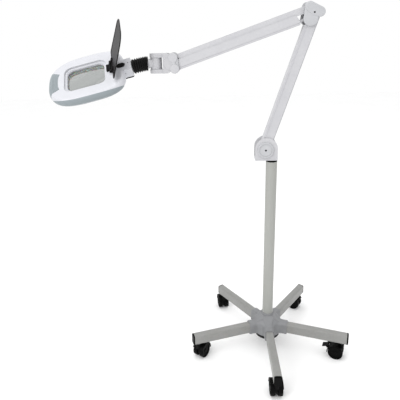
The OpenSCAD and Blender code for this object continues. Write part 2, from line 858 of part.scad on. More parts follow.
module upper_shell() {
    color(shell_white) head_frame() difference() {
        union() {
            intersection() {
                difference() {
                    head_body();
                    head_body(shell_t);
                }
                slab(split + tiny, 60) translate([-400, -200]) square([400, 400]);
            }
            neck_box_solid();
            for (p = screw_places) translate([p[0], p[1], head_bottom + shell_t + seated])
                cylinder(r = 4, h = head_top - 1 - head_bottom - shell_t);
            intersection() {
                head_body(1);
                slab(seat_z - 2, head_top + 1) window_shape(9);
            }
        }
        slab(-2, 60) window_shape(0);
        slab(seat_z, 60) window_shape(6);
        slab(-60, seat_z - 2) window_shape(lens_rim + 5);
        neck_cavity();
        for (p = screw_places) translate([p[0], p[1], head_bottom]) cylinder(d = 3 + 2 * seated, h = 9);
        translate([-neck_to - 1, -60, -60]) cube([neck_to - heel - 4, 120, 60 + split + tiny]);
        difference() {
            tip_zone();
            head_body(panel_t);
        }
        translate([switch_x, 0, neck_half - 6.2]) linear_extrude(20)
            rounded_rect(switch_l + 1, switch_w + 0.8, 8);
        translate([switch_x, 0, neck_half - 2]) across_y(0, 1 + running, switch_w + 3.4);
        slab(block_base - seated, 40) translate([hinge_x - 4, 0])
            square([block_l + 2 * seated, block_w + 2 * seated], center = true);
        intersection() {
            flank_zone();
            difference() {
                head_body(-4);
                head_body(panel_t);
            }
        }
    }
}

module lower_shell() {
    color(shell_white) head_frame() difference() {
        intersection() {
            difference() {
                head_body();
                head_body(shell_t);
            }
            slab(-60, split) translate([-400, -200]) square([400, 400]);
        }
        slab(-60, 60) window_shape(14);
        neck_box_solid();
        difference() {
            tip_zone();
            head_body(panel_t);
        }
        intersection() {
            flank_zone();
            difference() {
                head_body(-4);
                head_body(panel_t);
            }
        }
        for (p = screw_places) translate([p[0], p[1], head_bottom - 2]) cylinder(d = 3.4, h = 12);
    }
}

module head_screws() {
    color(steel) head_frame() for (p = screw_places)
        translate([p[0], p[1], head_bottom - tiny]) pan_screw(3, 8, 5.6, 1.6);
}

module tip_grille() {
    color(panel_grey) head_frame() difference() {
        intersection() {
            tip_zone();
            head_body(seated);
        }
        head_body(panel_t - tiny);
        for (i = [0:6]) translate([-tip + 3 + i * 4.6, -60, head_top - 0.6]) cube([1.6, 120, 4]);
    }
}

module side_panels() {
    color(panel_grey) head_frame() difference() {
        intersection() {
            flank_zone();
            head_body(seated);
        }
        head_body(panel_t - tiny);
    }
}

module lens_frame() {
    color(shell_white) head_frame() difference() {
        slab(lens_z - 5, seat_z - 2 - tiny) window_shape(lens_rim + 4.8);
        slab(lens_z - 6, 40) window_shape(-1);
        slab(lens_z - 6, lens_z + 3.2) window_shape(lens_rim + seated);
    }
}

module lens() {
    bulge = 620;
    color([0.8, 0.84, 0.86]) head_frame() intersection() {
        slab(lens_z - lens_half_t - 1, lens_z + lens_half_t + 1) window_shape(lens_rim);
        translate([window_x, 0, lens_z + lens_half_t - bulge]) sphere(bulge, $fn = 360);
        translate([window_x, 0, lens_z - lens_half_t + bulge]) sphere(bulge, $fn = 360);
    }
}

// Cover in its closed place: hinge at the origin, its length along -X
module cover_outline() {
    r = 38;
    half = cover_w / 2;
    taper = 14;
    translate([-cover_l + r, half - taper - r]) circle(r);
    translate([-cover_l + r, -half + taper + r]) circle(r);
    corner = 14;
    root = -cover_root;
    for (side = [-1, 1]) translate([root - corner, side * (half - corner)]) circle(corner);
    polygon([[root, half - corner], [root - corner, half], [-cover_l + r, half - taper],
             [-cover_l, half - taper - r], [-cover_l, -half + taper + r], [-cover_l + r, -half + taper],
             [root - corner, -half], [root, -half + corner]]);
}

module lens_cover() {
    color(smoke) head_frame() translate([hinge_x, 0, hinge_z]) rotate([0, cover_open, 0]) difference() {
        union() {
            slab(cover_lift - cover_t / 2, cover_lift + cover_t / 2) cover_outline();
            for (side = [-1, 1]) {
                across_y(side * 20.5, barrel_r, 11);
                translate([-cover_root - 7, side * 20.5 - 5.5, 0]) cube([10, 11, cover_lift]);
            }
        }
        across_y(0, 1.5 + running, 80);
    }
}

module across_y(y, r, w) {
    translate([0, y, 0]) rotate([90, 0, 0]) cylinder(r = r, h = w, center = true);
}

module hinge_block() {
    color(black) head_frame() {
        difference() {
            union() {
                slab(block_base, hinge_z) translate([hinge_x - 4, 0]) square([block_l, block_w], center = true);
                translate([hinge_x, 0, hinge_z]) across_y(0, barrel_r, block_w);
            }
            translate([hinge_x, 0, hinge_z]) across_y(0, 1.5 - seated, 80);
        }
        translate([hinge_x, 0, hinge_z]) across_y(0, 1.5 - tiny, 54);
    }
}

module rocker_switch() {
    color(black) head_frame() translate([switch_x, 0, neck_half - 5.1]) {
        linear_extrude(5.2) rounded_rect(switch_l, switch_w, 7.6);
        translate([0, 0, 5.2 - tiny]) linear_extrude(2) rounded_rect(switch_l - 3, switch_w - 3, 6.5);
        translate([0, 0, 3.1]) across_y(0, 1, switch_w + 3);
    }
}

module led_board() {
    color([0.9, 0.9, 0.86]) head_frame() {
        slab(-12, -10.4) difference() {
            window_shape(13.5);
            window_shape(6);
        }
        for (i = [-3:3], side = [-1, 1])
            translate([window_x + i * 17, side * (window_w / 2 + 9.8), -13.2]) cube([5, 3, 2.4], center = true);
    }
}

module light_diffuser() {
    color([0.95, 0.95, 0.92]) head_frame() difference() {
        union() {
            slab(-19.5, -17.5) window_shape(13.6);
            slab(-17.5 - tiny, lens_z - 3.05) difference() {
                window_shape(3.8);
                window_shape(2);
            }
        }
        slab(-30, 0) window_shape(0);
    }
}

hub();
hub_weight();
for (k = [1:5]) leg(k);
leg_end_plugs();
pole();
pole_foot_ring();
pole_top_bush();
base_screws();
caster_stems();
for (k = [1:5]) caster_hood(k);
for (k = [1:5]) caster_wheel(k, -1);
for (k = [1:5]) caster_wheel(k, 1);
for (k = brake_casters) brake_pedal(k);
arm_bracket();
bracket_caps();
bracket_pins();
lower_arm();
lower_link();
lower_springs();
elbow_block();
elbow_covers();
elbow_pins();
upper_arm();
upper_link();
upper_springs();
head_bracket();
head_bracket_pins();
swivel_knuckle();
neck_stem();
neck_pins();
bellows();
upper_shell();
lower_shell();
tip_grille();
side_panels();
lens_frame();
lens();
lens_cover();
hinge_block();
rocker_switch();
led_board();
light_diffuser();
head_screws();
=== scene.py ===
import bmesh
import bpy
import json
import math
from mathutils import Matrix, Vector


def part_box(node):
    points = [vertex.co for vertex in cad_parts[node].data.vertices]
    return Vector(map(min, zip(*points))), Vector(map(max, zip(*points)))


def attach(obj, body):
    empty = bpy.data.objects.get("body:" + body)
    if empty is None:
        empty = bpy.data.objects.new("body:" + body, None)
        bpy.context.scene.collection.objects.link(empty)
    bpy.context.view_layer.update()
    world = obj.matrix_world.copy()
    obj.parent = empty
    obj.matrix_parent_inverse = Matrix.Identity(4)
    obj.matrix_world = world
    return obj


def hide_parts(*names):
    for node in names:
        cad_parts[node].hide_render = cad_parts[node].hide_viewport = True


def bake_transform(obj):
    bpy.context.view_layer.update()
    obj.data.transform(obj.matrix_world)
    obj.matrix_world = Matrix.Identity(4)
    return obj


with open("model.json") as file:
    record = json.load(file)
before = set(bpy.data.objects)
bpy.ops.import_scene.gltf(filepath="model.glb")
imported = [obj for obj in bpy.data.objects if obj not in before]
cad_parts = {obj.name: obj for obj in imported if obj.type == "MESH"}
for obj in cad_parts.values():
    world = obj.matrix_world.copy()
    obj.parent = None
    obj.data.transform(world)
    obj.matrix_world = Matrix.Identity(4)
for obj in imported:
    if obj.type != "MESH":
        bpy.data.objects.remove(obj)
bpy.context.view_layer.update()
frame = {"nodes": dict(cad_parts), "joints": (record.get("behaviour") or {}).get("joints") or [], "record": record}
scene = bpy.context.scene
mm = 0.001

# Places taken from the frame's own joints

jointTable = {joint["name"]: joint for joint in frame["joints"]}


def jointPoint(name):
    return Vector(jointTable[name]["pos_m"])


def jointAxis(name):
    return Vector(jointTable[name]["axis"]).normalized()


def axesAt(origin, xAxis, yAxis):
    turned = Matrix((xAxis, yAxis, xAxis.cross(yAxis))).transposed().to_4x4()
    return Matrix.Translation(origin) @ turned


up = Vector((0, 0, 1))
headSpace = axesAt(jointPoint("head_roll"), jointAxis("head_roll"), jointAxis("cover_flip"))
swungSpace = axesAt(jointPoint("head_tilt"), jointAxis("head_tilt").cross(up), jointAxis("head_tilt"))
coverSpace = axesAt(jointPoint("cover_flip"), jointAxis("head_roll"), jointAxis("cover_flip"))
coverSpace = coverSpace @ Matrix.Rotation(math.radians(jointTable["cover_flip"]["range_deg"][0]) * -1, 4, "Y")


def armSpace(baseJoint, farJoint):
    along = (jointPoint(farJoint) - jointPoint(baseJoint)).normalized()
    return axesAt(jointPoint(baseJoint), along, Vector((0, -1, 0)))


# Mesh helpers, all in millimetres of a piece's own space


def makePiece(name, verts, faces, space=Matrix(), smoothAngle=38):
    mesh = bpy.data.meshes.new(name)
    mesh.from_pydata([space @ (Vector(v) * mm) for v in verts], [], faces)
    work = bmesh.new()
    work.from_mesh(mesh)
    bmesh.ops.remove_doubles(work, verts=work.verts, dist=0.00001)
    bmesh.ops.recalc_face_normals(work, faces=work.faces)
    work.to_mesh(mesh)
    work.free()
    mesh.shade_smooth()
    mesh.set_sharp_from_angle(angle=math.radians(smoothAngle))
    piece = bpy.data.objects.new(name, mesh)
    scene.collection.objects.link(piece)
    return piece


def loft(rings, around=False):
    # joins rings of equal length; around also joins the last to the first, otherwise both ends are capped
    count = len(rings[0])
    verts = [p for ring in rings for p in ring]
    faces = []
    for r in range(len(rings) if around else len(rings) - 1):
        a, b = r * count, (r + 1) % len(rings) * count
        faces += [(a + i, a + (i + 1) % count, b + (i + 1) % count, b + i) for i in range(count)]
    if not around:
        faces.append(tuple(reversed(range(count))))
        faces.append(tuple(range(len(verts) - count, len(verts))))
    return verts, faces


def rounded(corners, steps=5):
    # corners are (x, y, radius), and each becomes an arc
    line = []
    for i, (x, y, radius) in enumerate(corners):
        here = Vector((x, y))
        back = (Vector(corners[i - 1][:2]) - here).normalized()
        ahead = (Vector(corners[(i + 1) % len(corners)][:2]) - here).normalized()
        if radius == 0 or (back + ahead).length < 0.001:
            line.append((x, y))
            continue
        half = back.angle(ahead) / 2
        centre = here + (back + ahead).normalized() * radius / math.sin(half)
        first = here + back * radius / math.tan(half) - centre
        last = here + ahead * radius / math.tan(half) - centre
        first, last = first.normalized(), last.normalized()
        line += [tuple(centre + radius * first.slerp(last, s / steps)) for s in range(steps + 1)]
    return line


def lathe(profile, steps=96):
    # a closed (radius, height) profile turned about Z
    rings = []
    for k in range(steps):
        c, s = math.cos(math.tau * k / steps), math.sin(math.tau * k / steps)
        rings.append([(r * c, r * s, z) for r, z in profile])
    return loft(rings, around=True)


def curveThrough(points, steps=5):
    # a smooth line through the points, as Catmull and Rom's curve
    padded = [points[0]] + points + [points[-1]]
    line = []
    for i in range(len(points) - 1):
        p0, p1, p2, p3 = (Vector(p) for p in padded[i:i + 4])
        for s in range(steps):
            t = s / steps
            line.append(tuple(0.5 * (2 * p1 + (p2 - p0) * t + (2 * p0 - 5 * p1 + 4 * p2 - p3) * t * t
                                     + (3 * p1 - p0 - 3 * p2 + p3) * t ** 3)))
    line.append(tuple(points[-1]))
    return line


def prism(outline, low, high):
    return loft([[(x, y, low) for x, y in outline], [(x, y, high) for x, y in outline]])


def merged(parts):
    # several (verts, faces) as one
    verts, faces = [], []
    for partVerts, partFaces in parts:
        faces += [tuple(i + len(verts) for i in face) for face in partFaces]
        verts += partVerts
    return verts, faces


def roundEdges(piece, width, segments=3, angle=35):
    bevel = piece.modifiers.new("roundEdges", "BEVEL")
    bevel.width = width * mm
    bevel.segments = segments
    bevel.limit_method = "ANGLE"
    bevel.angle_limit = math.radians(angle)
    bevel.harden_normals = True
    return piece


def cutAway(piece, cutter):
    # takes the cutter's shape out of the piece for good
    cut = piece.modifiers.new("cut", "BOOLEAN")
    cut.object = cutter
    cut.solver = "EXACT"
    with bpy.context.temp_override(object=piece, active_object=piece):
        bpy.ops.object.modifier_apply(modifier=cut.name)
    bpy.data.objects.remove(cutter)


def dress(piece, material, body, slotName, *nodes):
    # gives a new piece its finish, the body it moves with, and the CAD nodes it stands for
    piece.data.materials.clear()
    piece.data.materials.append(material)
    if body:
        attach(piece, body)
    if nodes:
        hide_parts(*nodes)
    return piece


# Materials


def linear(hexColour):
    # an sRGB hex colour as the linear values that a shader wants
    values = [int(hexColour[i:i + 2], 16) / 255 for i in (1, 3, 5)]
    return [v / 12.92 if v <= 0.04045 else ((v + 0.055) / 1.055) ** 2.4 for v in values] + [1]


def addNode(tree, kind, settings=None, links=None):
    # one shader node with its values set and its inputs linked
    new = tree.nodes.new(kind)
    for key, value in (settings or {}).items():
        if key in new.inputs:
            new.inputs[key].default_value = value
        else:
            setattr(new, key, value)
    for key, source in (links or {}).items():
        tree.links.new(source, new.inputs[key])
    return new


def startMaterial(name, shader):
    # an empty material with its shader, and where it is on the piece in metres
    material = bpy.data.materials.new(name)
    material.use_nodes = True
    tree = material.node_tree
    tree.nodes.clear()
    surface = addNode(tree, "ShaderNodeBsdfPrincipled", shader)
    addNode(tree, "ShaderNodeOutputMaterial", None, {"Surface": surface.outputs["BSDF"]})
    place = addNode(tree, "ShaderNodeTexCoord").outputs["Object"]
    return material, tree, surface, place


def feed(tree, surface, key, source):
    tree.links.new(source, surface.inputs[key])


def noise(tree, place, size, detail=3, roughness=0.5):
    # noise whose lumps are size millimetres across
    settings = {"Scale": 1 / (size * mm), "Detail": detail, "Roughness": roughness}
    return addNode(tree, "ShaderNodeTexNoise", settings, {"Vector": place}).outputs["Fac"]


def spread(tree, value, low, high, fromLow=0.3, fromHigh=0.7):
    settings = {"From Min": fromLow, "From Max": fromHigh, "To Min": low, "To Max": high}
    return addNode(tree, "ShaderNodeMapRange", settings, {"Value": value}).outputs["Result"]


def blendColours(tree, factor, first, second):
    ramp = addNode(tree, "ShaderNodeValToRGB", None, {"Fac": factor})
    ramp.color_ramp.elements[0].position = 0.3
    ramp.color_ramp.elements[1].position = 0.7
    ramp.color_ramp.elements[0].color = linear(first)
    ramp.color_ramp.elements[1].color = linear(second)
    return ramp.outputs["Color"]


def addBump(tree, surface, height, strength, depth):
    # bump from a height, depth millimetres deep
    settings = {"Strength": strength, "Distance": depth * mm}
    bump = addNode(tree, "ShaderNodeBump", settings, {"Height": height})
    feed(tree, surface, "Normal", bump.outputs["Normal"])


def edgeWear(tree, first, worn, place, amount):
    # edges rubbed to another shade, broken up by 6 mm patches
    convex = addNode(tree, "ShaderNodeNewGeometry").outputs["Pointiness"]
    edge = spread(tree, convex, 0, amount, 0.52, 0.6)
    patch = spread(tree, noise(tree, place, 6), 0.2, 1)
    factor = addNode(tree, "ShaderNodeMath", {"operation": "MULTIPLY"}, {0: edge, 1: patch}).outputs["Value"]
    mixed = addNode(tree, "ShaderNodeMix", {"data_type": "RGBA"}, {"Factor": factor})
    # a mix node's colours are its inputs 6 and 7, and its output 2
    tree.links.new(first, mixed.inputs[6])
    mixed.inputs[7].default_value = linear(worn)
    return mixed.outputs[2]


# Polyester powder coat on steel: a baked satin skin with orange peel a millimetre or two across
def powderCoat(name, pale, deep, worn):
    material, tree, surface, place = startMaterial(name, {
        "Metallic": 0.0, "IOR": 1.5, "Coat Weight": 0.12, "Coat Roughness": 0.25})
    colour = blendColours(tree, noise(tree, place, 45, 2), pale, deep)
    feed(tree, surface, "Base Color", edgeWear(tree, colour, worn, place, 0.35))
    gloss = spread(tree, noise(tree, place, 9), 0.36, 0.46)
    feed(tree, surface, "Roughness", gloss)
    addBump(tree, surface, noise(tree, place, 1.6, 1), 0.12, 0.05)
    return material


# Clear-anodised aluminium tube: drawn lengthwise, so faint upright lines break up a soft metal sheen
def anodisedTube(name, pale, deep):
    material, tree, surface, place = startMaterial(name, {"Metallic": 0.55, "Anisotropic": 0.3})
    stretch = addNode(tree, "ShaderNodeMapping", {"Scale": (1, 1, 0.02)}, {"Vector": place}).outputs["Vector"]
    lines = noise(tree, stretch, 0.8, 4)
    feed(tree, surface, "Base Color", blendColours(tree, lines, pale, deep))
    feed(tree, surface, "Roughness", spread(tree, lines, 0.36, 0.5))
    addBump(tree, surface, lines, 0.08, 0.02)
    return material


# Injection-moulded ABS or nylon: spark-eroded grain, drawn at 0.9 mm so that it shows as a soft bloom
def mouldedPlastic(name, pale, deep, worn, rough=0.45, grain=0.9, depth=0.06, strength=0.25,
                   coat=0.0, rub=0.3, gleam=0.5):
    material, tree, surface, place = startMaterial(name, {
        "IOR": 1.53, "Coat Weight": coat, "Coat Roughness": 0.12, "Specular IOR Level": gleam})
    colour = blendColours(tree, noise(tree, place, 30, 2), pale, deep)
    if rub:
        colour = edgeWear(tree, colour, worn, place, rub)
    feed(tree, surface, "Base Color", colour)
    feed(tree, surface, "Roughness", spread(tree, noise(tree, place, 12), rough - 0.05, rough + 0.06))
    addBump(tree, surface, noise(tree, place, grain, 2), strength, depth)
    return material


# Zinc-plated or blackened steel, turned and tumbled: small bright scuffs over a soft metal sheen
def platedSteel(name, pale, deep, rough=0.3):
    material, tree, surface, place = startMaterial(name, {"Metallic": 1.0})
    feed(tree, surface, "Base Color", blendColours(tree, noise(tree, place, 4, 4), pale, deep))
    feed(tree, surface, "Roughness", spread(tree, noise(tree, place, 1.5), rough - 0.08, rough + 0.1))
    addBump(tree, surface, noise(tree, place, 0.6, 2), 0.1, 0.02)
    return material


# Painted sand casting: 2 mm pits and lumps under black paint
def paintedCasting(name, pale, deep):
    material, tree, surface, place = startMaterial(name, {"Roughness": 0.6, "Specular IOR Level": 0.2})
    feed(tree, surface, "Base Color", blendColours(tree, noise(tree, place, 14), pale, deep))
    addBump(tree, surface, noise(tree, place, 2, 5, 0.65), 0.6, 0.4)
    return material


# EPDM rubber, moulded: matt, with a bloom of dust in 10 mm clouds
def mouldedRubber(name, pale, deep):
    material, tree, surface, place = startMaterial(name, {
        "IOR": 1.52, "Sheen Weight": 0.03, "Sheen Roughness": 0.5, "Specular IOR Level": 0.2})
    feed(tree, surface, "Base Color", blendColours(tree, noise(tree, place, 10, 4), pale, deep))
    feed(tree, surface, "Roughness", spread(tree, noise(tree, place, 5), 0.55, 0.72))
    addBump(tree, surface, noise(tree, place, 0.7, 2), 0.3, 0.05)
    return material


# Smoked polycarbonate, moulded and polished: dark, a little light comes through, hairline scratches
def smokedPlastic(name, pale, deep):
    material, tree, surface, place = startMaterial(name, {
        "IOR": 1.58, "Transmission Weight": 0.06,
        "Specular IOR Level": 0.06})
    feed(tree, surface, "Base Color", blendColours(tree, noise(tree, place, 60, 2), pale, deep))
    stretch = addNode(tree, "ShaderNodeMapping", {"Scale": (1, 0.03, 1)}, {"Vector": place}).outputs["Vector"]
    scratches = noise(tree, stretch, 0.5, 2)
    feed(tree, surface, "Roughness", spread(tree, scratches, 0.34, 0.46))
    addBump(tree, surface, scratches, 0.04, 0.01)
    return material


# Ground and polished optical acrylic: clear with a grey cast, and faint wiped smears
def opticalAcrylic(name, tint):
    material, tree, surface, place = startMaterial(name, {
        "IOR": 1.49, "Transmission Weight": 1.0, "Base Color": linear(tint)})
    feed(tree, surface, "Roughness", spread(tree, noise(tree, place, 35, 4), 0.02, 0.07))
    return material


# Opal acrylic diffuser: milky, light scatters inside it, with a soft moulded surface
def opalAcrylic(name, pale, deep):
    material, tree, surface, place = startMaterial(name, {
        "IOR": 1.49, "Subsurface Weight": 0.3, "Subsurface Scale": 0.004})
    feed(tree, surface, "Base Color", blendColours(tree, noise(tree, place, 20, 2), pale, deep))
    feed(tree, surface, "Roughness", spread(tree, noise(tree, place, 6), 0.3, 0.4))
    addBump(tree, surface, noise(tree, place, 1.2, 2), 0.08, 0.03)
    return material


finishes = {
    "arm_paint": powderCoat("silverPowderCoat", "#B7B7BA", "#B1B1B5", "#C6C6C8"),
    "leg_paint": powderCoat("greyPowderCoat", "#858583", "#7F7F7C", "#959593"),
    "pole_tube": anodisedTube("anodisedPole", "#A4A5A1", "#9E9F9B"),
    "hub_plastic": mouldedPlastic("greyGlassNylon", "#7F8082", "#797A7C", "#8E8E90", 0.5),
    "black_plastic": mouldedPlastic("blackNylon", "#060606", "#040404", "#101010", 0.42, gleam=0.06),
    "black_rubber": mouldedRubber("blackBellowsRubber", "#080808", "#0F0E0E"),
    "tread": mouldedPlastic("blackWheelNylon", "#060606", "#040404", "#111111", 0.5, 1.5, 0.1, 0.35,
                            gleam=0.06),
    "iron_weight": paintedCasting("blackPaintedIron", "#0A0A0A", "#101011"),
    "steel": platedSteel("zincPlatedSteel", "#C8C9CC", "#AEB0B5"),
    "spring_steel": platedSteel("springWire", "#A9A9AC", "#8E8E92", 0.34),
    "cap_plastic": mouldedPlastic("silverAbs", "#B2B3B6", "#ADAEB1", "#C0C0C3", 0.42),
    "shell_white": mouldedPlastic("whiteAbs", "#C3C4C9", "#C0C1C6", "#CECED2", 0.36, 1.1, 0.02, 0.08, 0.1, 0),
    "panel_grey": mouldedPlastic("blueGreyAbs", "#858D91", "#7F878B", "#9AA1A4", 0.4, rub=0),
    "lens_glass": opticalAcrylic("clearLensAcrylic", "#AFB2B1"),
    "smoke_plastic": smokedPlastic("smokedPolycarbonate", "#1C1A1B", "#171516"),
    "circuit_board": mouldedPlastic("whiteSolderMask", "#ECECE6", "#E2E2DA", "#F6F6F2", 0.35),
    "diffuser": opalAcrylic("opalAcrylic", "#F3F3EF", "#E8E8E2"),
}
blackOxide = platedSteel("blackOxideSteel", "#1E1E20", "#131314", 0.4)
print("materials made:", len(finishes) + 1)

# CAD nodes that stay: their own finish and softened edges

edgeWidths = {  # millimetres
    "leg_end_plugs": 1.0, "pole_foot_ring": 0.5, "pole_top_bush": 0.6, "hub_weight": 1.0,
    "arm_bracket": 1.0, "head_bracket": 1.2, "swivel_knuckle": 1.0, "hinge_block": 0.8,
}
edgeWidths.update({f"caster_hood_{k}": 0.6 for k in range(1, 6)})
edgeWidths.update({f"brake_pedal_{k}": 0.6 for k in (2, 5)})

for row in frame["record"]["subparts"]:
    node = frame["nodes"][row["node"]]
    finish = finishes[row["material_slot"]]
    if row["node"] == "bracket_pins":
        finish = blackOxide
    if row["node"] == "pole_foot_ring":
        finish = finishes["hub_plastic"]
    node.data.materials.clear()
    node.data.materials.append(finish)
    if row["node"] in edgeWidths:
        roundEdges(node, edgeWidths[row["node"]])
print("CAD nodes dressed")

# Hub: five sockets drawn together by hollow webs that rise to the pole

hub = {
    "reach": 72, "halfWidth": 16.6, "corner": 10,  # socket
    "valley": 46, "collar": 22.5,                  # radius between sockets, radius at the pole
    "socketFlat": 50,                              # where a socket's top starts to rise
    "webSoftness": 20,
}


def softMin(a, b, k):
    h = max(k - abs(a - b), 0) / k
    return min(a, b) - h * h * k / 4


def softMax(a, b, k):
    return -softMin(-a, -b, k)


def buildHub():
    low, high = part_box("hub")
    bottom, top = low.z / mm, high.z / mm
    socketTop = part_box("leg_1")[1].z / mm + 4
    perSector = 48

    def ringAt(z, reach, half, valley, softness):
        ring = []
        for i in range(5 * perSector):
            across = math.radians((i % perSector) / perSector * 72 - 36)
            side = half / max(math.sin(abs(across)), 0.001)
            socket = softMin(side, reach / math.cos(across), 2.5)
            radius = softMax(socket, valley, softness)
            radius = min(radius, reach / math.cos(across))
            turn = math.radians(-90 + 72 * (i // perSector)) + across
            ring.append((radius * math.cos(turn), radius * math.sin(turn), z))
        return ring

    def socketHalf(z):
        # half width of a socket's rounded section at a height
        c = hub["corner"]
        near = min(z - bottom, socketTop - z)
        inward = 0 if near >= c else c - math.sqrt(max(c * c - (c - near) ** 2, 0))
        return hub["halfWidth"] - inward

    soft = hub["webSoftness"]
    rings = [ringAt(bottom + 0.01, hub["reach"] - 1, socketHalf(bottom + 0.3), hub["valley"] - 2, soft)]
    for s in range(25):
        z = bottom + 0.5 + (socketTop - bottom - 1.0) * s / 24
        rings.append(ringAt(z, hub["reach"], socketHalf(z), hub["valley"] - 2 * s / 24, soft))
    for s in range(1, 15):
        t = s / 14
        z = socketTop - 0.5 + (top - socketTop + 0.5) * t
        reach = hub["collar"] + (hub["socketFlat"] - hub["collar"]) * (1 - t) ** 1.5
        half = 9 + (hub["collar"] - 9) * t ** 1.6
        valley = hub["collar"] + (hub["valley"] - 2 - hub["collar"]) * (1 - t) ** 1.3
        rings.append(ringAt(z, reach, half, min(valley, reach - 0.2 * (1 - t)), 18))
    return makePiece("hubShell", *loft(rings), smoothAngle=50)


dress(buildHub(), finishes["hub_plastic"], "base", "hub_plastic", "hub")
print("hub done")

# Caster wheels

wheel = {"tread": 2.2, "dish": 3.0, "dishRim": 4.5, "cap": 6.5}


def buildWheel(k, side):
    name = f"wheel_{side}_{k}"
    spin = f"wheel_{side}_spin_{k}"
    low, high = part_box(name)
    axle = jointAxis(spin)
    centre = (low + high) / 2
    radius = (high.z - low.z) / 2 / mm
    outward = axle if (centre - jointPoint(spin)).dot(axle) > 0 else -axle
    # the wheel's width, from the box of a short cylinder turned by a known heading
    half = abs((centre - jointPoint(spin)).dot(axle)) / mm - 4.6
    face = half
    profile = rounded([
        (5, -half, 0.4), (radius - wheel["dishRim"], -half, 1), (radius - 1, -half, 1.5),
        (radius, -half + wheel["tread"], 1.2), (radius, half - wheel["tread"], 1.2), (radius - 1, face, 1.5),
        (radius - wheel["dishRim"], face, 0.8), (radius - wheel["dishRim"] - 1, face - wheel["dish"], 0.8),
        (wheel["cap"] + 1, face - wheel["dish"], 0.8), (wheel["cap"], face - 0.6, 0.8),
        (1.2, face - 0.4, 0.1), (1.2, half - 3.4, 0.1), (5, half - 3.4, 0.1)], 4)
    space = Matrix.Translation(centre) @ outward.to_track_quat("Z", "Y").to_matrix().to_4x4()
    piece = makePiece(f"casterWheel_{side}_{k}", *lathe(profile, 72), space)
    return dress(piece, finishes["tread"], name, "tread", name)


for k in range(1, 6):
    for side in ("left", "right"):
        buildWheel(k, side)
print("wheels done")

# Balance springs: close-wound coils with a loop at each end

spring = {"coilRadius": 4.4, "wire": 0.8, "pitch": 2.3, "apart": 6.4, "sides": 8, "perTurn": 18,
          "eyeRoom": 2, "eyeTurn": 0.8, "eyeHeight": 3.5,
          "lower": (64, 250), "upper": (76, 262)}


def wireRing(centre, out, across, radius):
    return [tuple(centre + radius * (math.cos(a) * out + math.sin(a) * across))
            for a in (math.tau * s / spring["sides"] for s in range(spring["sides"]))]


def buildSprings(name, space, start, end):
    parts = []
    r = spring["coilRadius"]
    first, last = start + spring["eyeRoom"], end - spring["eyeRoom"]
    steps = int((last - first) / spring["pitch"] * spring["perTurn"])
    for y in (-spring["apart"], spring["apart"]):
        rings = []
        for i in range(steps + 1):
            turn = math.tau * i / spring["perTurn"]
            out = Vector((0, math.cos(turn), math.sin(turn)))
            along = Vector((spring["pitch"] / math.tau, -math.sin(turn) * r, math.cos(turn) * r)).normalized()
            centre = Vector((first + (last - first) * i / steps, y, 0)) + out * r
            rings.append(wireRing(centre, out, along.cross(out), spring["wire"]))
        parts.append(loft(rings))
        # an eye at each end, turned to stand in the anchor tab
        for x, way in ((first, -1), (last, 1)):
            rings = []
            for i in range(25):
                turn = math.tau * spring["eyeTurn"] * i / 24
                centre = Vector((x + way * (1 - math.cos(turn)), y, spring["eyeHeight"] * math.sin(turn)))
                out = Vector((-math.cos(turn) * way, 0, math.sin(turn)))
                rings.append(wireRing(centre, out, Vector((0, 1, 0)), spring["wire"] * 0.9))
            parts.append(loft(rings))
    return makePiece(name, *merged(parts), space)


for arm, far in (("lower", "elbow_level"), ("upper", "wrist_level")):
    space = armSpace(f"{arm}_arm_raise", far)
    coils = buildSprings(f"{arm}Springs", space, *spring[arm])
    dress(coils, finishes["spring_steel"], f"{arm}_arm", "spring_steel", f"{arm}_springs")
print("springs done")

# Covers of the elbow, and plates of the wrist, drawn tight round their pins

elbowCover = {"big": 21, "small": 14, "waist": 10, "low": 22.45, "high": 26.7, "raised": 27.6, "screw": 2.7,
              "screwAt": (9, 16)}
wristPlate = {"lobe": 14, "low": 19.2, "high": 22.9, "ring": 5, "ringHigh": 25.2}


def plateRing(middle, lobes, links, inset, z):
    # the outline round pairs of circles, found along rays from the middle
    ring = []
    for i in range(160):
        ray = Vector((math.cos(math.tau * i / 160), math.sin(math.tau * i / 160)))
        near, far = 0.0, 80.0
        for _ in range(24):
            spot = middle + ray * (near + far) / 2
            inside = False
            for a, b in links:
                first, last = Vector(lobes[a][:2]), Vector(lobes[b][:2])
                share = min(max((spot - first).dot(last - first) / (last - first).length_squared, 0), 1)
                radius = lobes[a][2] + (lobes[b][2] - lobes[a][2]) * share
                inside = inside or (spot - first.lerp(last, share)).length < radius
            if inside:
                near = (near + far) / 2
            else:
                far = (near + far) / 2
        spot = middle + ray * (near - inset)
        ring.append((spot.x, spot.y, z))
    return ring


def plate(middle, lobes, links, low, high, side, shrink=0):
    steps = ((0, low), (0, high - 1.1), (0.15, high - 0.6), (0.5, high - 0.2), (1.1, high), (7, high))
    return loft([plateRing(Vector(middle), lobes, links, shrink + inset, side * z) for inset, z in steps])


def stud(x, y, radius, low, high, side):
    profile = rounded([(0.05, low, 0), (radius, low, 0), (radius, high, 0.4), (0.05, high, 0)], 3)
    verts, faces = lathe(profile, 48)
    return [(vx + x, vy + y, vz * side) for vx, vy, vz in verts], faces


def offsetOf(pin, pivot):
    gap = (jointPoint(pin) - jointPoint(pivot)) / mm
    return gap.x, gap.z


